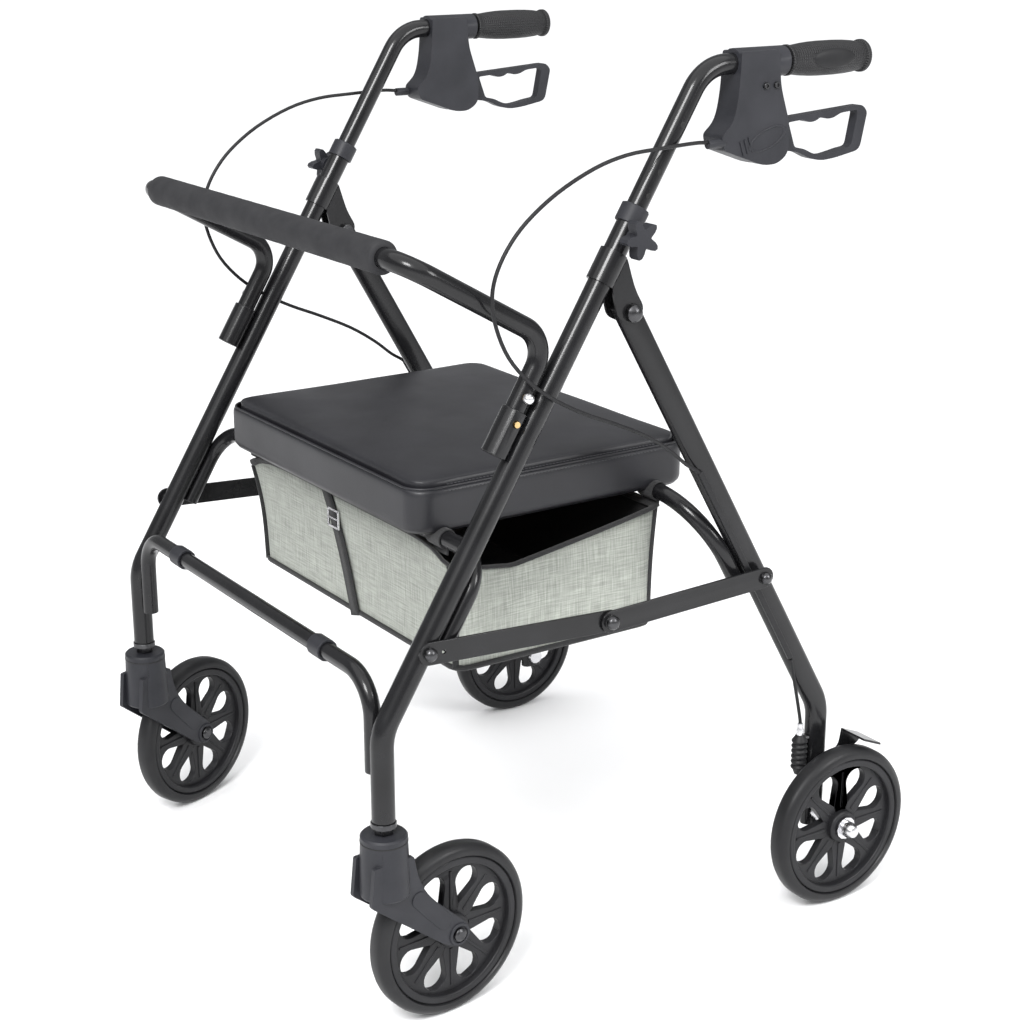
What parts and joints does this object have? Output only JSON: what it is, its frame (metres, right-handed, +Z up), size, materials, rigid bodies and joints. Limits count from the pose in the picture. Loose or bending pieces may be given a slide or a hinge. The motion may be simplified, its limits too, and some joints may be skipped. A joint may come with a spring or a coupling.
{
  "type": "rollator walker",
  "caption": "Folding four-wheeled walker with a padded seat, foam backrest bar, fabric basket, height-adjustable handles and cable-operated loop brakes.",
  "frame": {"origin": "centre of the bounding box, on the floor under the walker", "axes": "-Y is the front, where the casters and the backrest are, +X is the left of the person walking behind the handles, +Z is up"},
  "size_m": [0.772, 0.7428, 1.0273],
  "materials": {
    "black_paint": "gloss black powder coat",
    "charcoal_plastic": "satin charcoal moulded plastic",
    "wheel_plastic": "black moulded wheel with a smoother tyre edge",
    "grip_rubber": "black soft rubber with a dotted texture",
    "black_rubber": "matt black cable sheath and bellows rubber",
    "zinc_steel": "bright zinc-plated steel",
    "seat_vinyl": "black satin vinyl with a stitched welt",
    "plywood": "plain plywood under the seat cover",
    "basket_fabric": "heathered light grey-green woven fabric with black binding",
    "foam": "matt charcoal closed-cell foam"
  },
  "bodies": {
    "front_frame": {"front_leg_left": "black_paint", "pivot_gusset_left": "black_paint", "pivot_bolt_left": "zinc_steel", "backrest_socket_left": "black_paint", "height_collar_left": "charcoal_plastic", "caster_stem_left": "zinc_steel", "cross_bar_clip_left": "charcoal_plastic", "brake_cable_left": "black_rubber", "front_leg_right": "black_paint", "pivot_gusset_right": "black_paint", "pivot_bolt_right": "zinc_steel", "backrest_socket_right": "black_paint", "height_collar_right": "charcoal_plastic", "caster_stem_right": "zinc_steel", "cross_bar_clip_right": "charcoal_plastic", "brake_cable_right": "black_rubber", "cross_bar": "black_paint", "front_seat_tube": "black_paint", "basket": "basket_fabric"},
    "rear_frame": {"rear_leg_left": "black_paint", "cable_channel_left": "charcoal_plastic", "brake_boot_left": "black_rubber", "rear_axle_left": "zinc_steel", "rear_leg_right": "black_paint", "cable_channel_right": "charcoal_plastic", "brake_boot_right": "black_rubber", "rear_axle_right": "zinc_steel", "rear_seat_tube": "black_paint"},
    "handle_left": {"handle_tube_left": "black_paint", "handle_grip_left": "grip_rubber", "brake_housing_left": "charcoal_plastic"},
    "brake_lever_left": {"brake_lever_left": "charcoal_plastic"},
    "star_knob_left": {"star_knob_left": "charcoal_plastic"},
    "brake_arm_left": {"brake_arm_left": "black_paint"},
    "front_link_left": {"front_link_left": "black_paint"},
    "rear_link_left": {"rear_link_left": "black_paint"},
    "rear_wheel_left": {"rear_wheel_left": "wheel_plastic"},
    "caster_wheel_left": {"caster_wheel_left": "wheel_plastic"},
    "snap_button_left": {"snap_button_left": "zinc_steel"},
    "caster_left": {"caster_fork_left": "charcoal_plastic", "caster_axle_left": "zinc_steel"},
    "handle_right": {"handle_tube_right": "black_paint", "handle_grip_right": "grip_rubber", "brake_housing_right": "charcoal_plastic"},
    "brake_lever_right": {"brake_lever_right": "charcoal_plastic"},
    "star_knob_right": {"star_knob_right": "charcoal_plastic"},
    "brake_arm_right": {"brake_arm_right": "black_paint"},
    "front_link_right": {"front_link_right": "black_paint"},
    "rear_link_right": {"rear_link_right": "black_paint"},
    "rear_wheel_right": {"rear_wheel_right": "wheel_plastic"},
    "caster_wheel_right": {"caster_wheel_right": "wheel_plastic"},
    "snap_button_right": {"snap_button_right": "zinc_steel"},
    "caster_right": {"caster_fork_right": "charcoal_plastic", "caster_axle_right": "zinc_steel"},
    "backrest": {"backrest_bar": "black_paint", "backrest_foam": "foam"},
    "seat": {"seat_board": "plywood", "seat_cushion": "seat_vinyl", "seat_hinge_clamp_left": "charcoal_plastic", "seat_hinge_clamp_right": "charcoal_plastic"}
  },
  "joints": [
    {"name": "fold", "type": "hinge", "parent": "front_frame", "child": "rear_frame", "pos_m": [0, -0.03268, 0.761], "axis": [-1, 0, 0], "range_deg": [0, 25], "deforming": ["basket", "brake_cable_left", "brake_cable_right"]},
    {"name": "front_link_left", "type": "hinge", "parent": "front_frame", "child": "front_link_left", "pos_m": [0.3215, -0.2903, 0.4368], "axis": [1, 0, 0], "range_deg": [0, 40]},
    {"name": "rear_link_left", "type": "hinge", "parent": "rear_frame", "child": "rear_link_left", "pos_m": [0.3251, 0.1579, 0.431], "axis": [-1, 0, 0], "range_deg": [0, 38.5]},
    {"name": "handle_height_left", "type": "slide", "parent": "front_frame", "child": "handle_left", "axis": [0, 0.524, 0.8517], "range_m": [-0.1096, 0.0548], "deforming": ["brake_cable_left"]},
    {"name": "star_knob_left", "type": "hinge", "parent": "front_frame", "child": "star_knob_left", "pos_m": [0.335, -0.03963, 0.842], "axis": [1, 0, 0], "continuous": true},
    {"name": "brake_lever_left", "type": "hinge", "parent": "handle_left", "child": "brake_lever_left", "pos_m": [0.306, 0.146, 0.932], "axis": [1, 0, 0], "range_deg": [0, 12], "stiffness_Nm_per_rad": 2, "springref_deg": -8.59},
    {"name": "brake_arm_left", "type": "hinge", "parent": "rear_frame", "child": "brake_arm_left", "pos_m": [0.32, 0.2672, 0.168], "axis": [-1, 0, 0], "range_deg": [0, 12.5], "deforming": ["brake_boot_left"]},
    {"name": "rear_wheel_left", "type": "hinge", "parent": "rear_frame", "child": "rear_wheel_left", "pos_m": [0.3526, 0.2672, 0.1], "axis": [1, 0, 0], "continuous": true},
    {"name": "caster_swivel_left", "type": "hinge", "parent": "front_frame", "child": "caster_left", "pos_m": [0.306, -0.3396, 0.22], "axis": [0, 0, 1], "continuous": true},
    {"name": "caster_wheel_left", "type": "hinge", "parent": "caster_left", "child": "caster_wheel_left", "pos_m": [0.29848, -0.25694, 0.1], "axis": [0.9959, 0.0906, 0], "continuous": true},
    {"name": "snap_button_left", "type": "slide", "parent": "backrest", "child": "snap_button_left", "axis": [-1, 0, 0], "range_m": [0, 0.005], "stiffness_N_per_m": 600, "springref_m": -0.002},
    {"name": "front_link_right", "type": "hinge", "parent": "front_frame", "child": "front_link_right", "pos_m": [-0.3215, -0.2903, 0.4368], "axis": [1, 0, 0], "range_deg": [0, 40]},
    {"name": "rear_link_right", "type": "hinge", "parent": "rear_frame", "child": "rear_link_right", "pos_m": [-0.3251, 0.1579, 0.431], "axis": [-1, 0, 0], "range_deg": [0, 38.5]},
    {"name": "handle_height_right", "type": "slide", "parent": "front_frame", "child": "handle_right", "axis": [0, 0.524, 0.8517], "range_m": [-0.1096, 0.0548], "deforming": ["brake_cable_right"]},
    {"name": "star_knob_right", "type": "hinge", "parent": "front_frame", "child": "star_knob_right", "pos_m": [-0.335, -0.03963, 0.842], "axis": [-1, 0, 0], "continuous": true},
    {"name": "brake_lever_right", "type": "hinge", "parent": "handle_right", "child": "brake_lever_right", "pos_m": [-0.306, 0.146, 0.932], "axis": [1, 0, 0], "range_deg": [0, 12], "stiffness_Nm_per_rad": 2, "springref_deg": -8.59},
    {"name": "brake_arm_right", "type": "hinge", "parent": "rear_frame", "child": "brake_arm_right", "pos_m": [-0.32, 0.2672, 0.168], "axis": [-1, 0, 0], "range_deg": [0, 12.5], "deforming": ["brake_boot_right"]},
    {"name": "rear_wheel_right", "type": "hinge", "parent": "rear_frame", "child": "rear_wheel_right", "pos_m": [-0.3526, 0.2672, 0.1], "axis": [1, 0, 0], "continuous": true},
    {"name": "caster_swivel_right", "type": "hinge", "parent": "front_frame", "child": "caster_right", "pos_m": [-0.306, -0.3396, 0.22], "axis": [0, 0, 1], "continuous": true},
    {"name": "caster_wheel_right", "type": "hinge", "parent": "caster_right", "child": "caster_wheel_right", "pos_m": [-0.33655, -0.26243, 0.1], "axis": [0.9298, 0.3681, 0], "continuous": true},
    {"name": "snap_button_right", "type": "slide", "parent": "backrest", "child": "snap_button_right", "axis": [1, 0, 0], "range_m": [0, 0.005], "stiffness_N_per_m": 600, "springref_m": -0.002},
    {"name": "backrest_slide", "type": "slide", "parent": "front_frame", "child": "backrest", "axis": [0, 0.524, 0.8517], "range_m": [0, 0.04], "deforming": ["snap_button_left", "snap_button_right"]},
    {"name": "seat_lift", "type": "hinge", "parent": "front_frame", "child": "seat", "pos_m": [0, -0.21092, 0.52062], "axis": [1, 0, 0], "range_deg": [0, 90]}
  ],
  "couplings": [
    {"joint": "front_link_left", "follows": "fold", "ratio": 1.582},
    {"joint": "rear_link_left", "follows": "fold", "ratio": 1.5144},
    {"joint": "brake_arm_left", "follows": "brake_lever_left", "ratio": 1},
    {"joint": "front_link_right", "follows": "fold", "ratio": 1.582},
    {"joint": "rear_link_right", "follows": "fold", "ratio": 1.5144},
    {"joint": "brake_arm_right", "follows": "brake_lever_right", "ratio": 1}
  ]
}
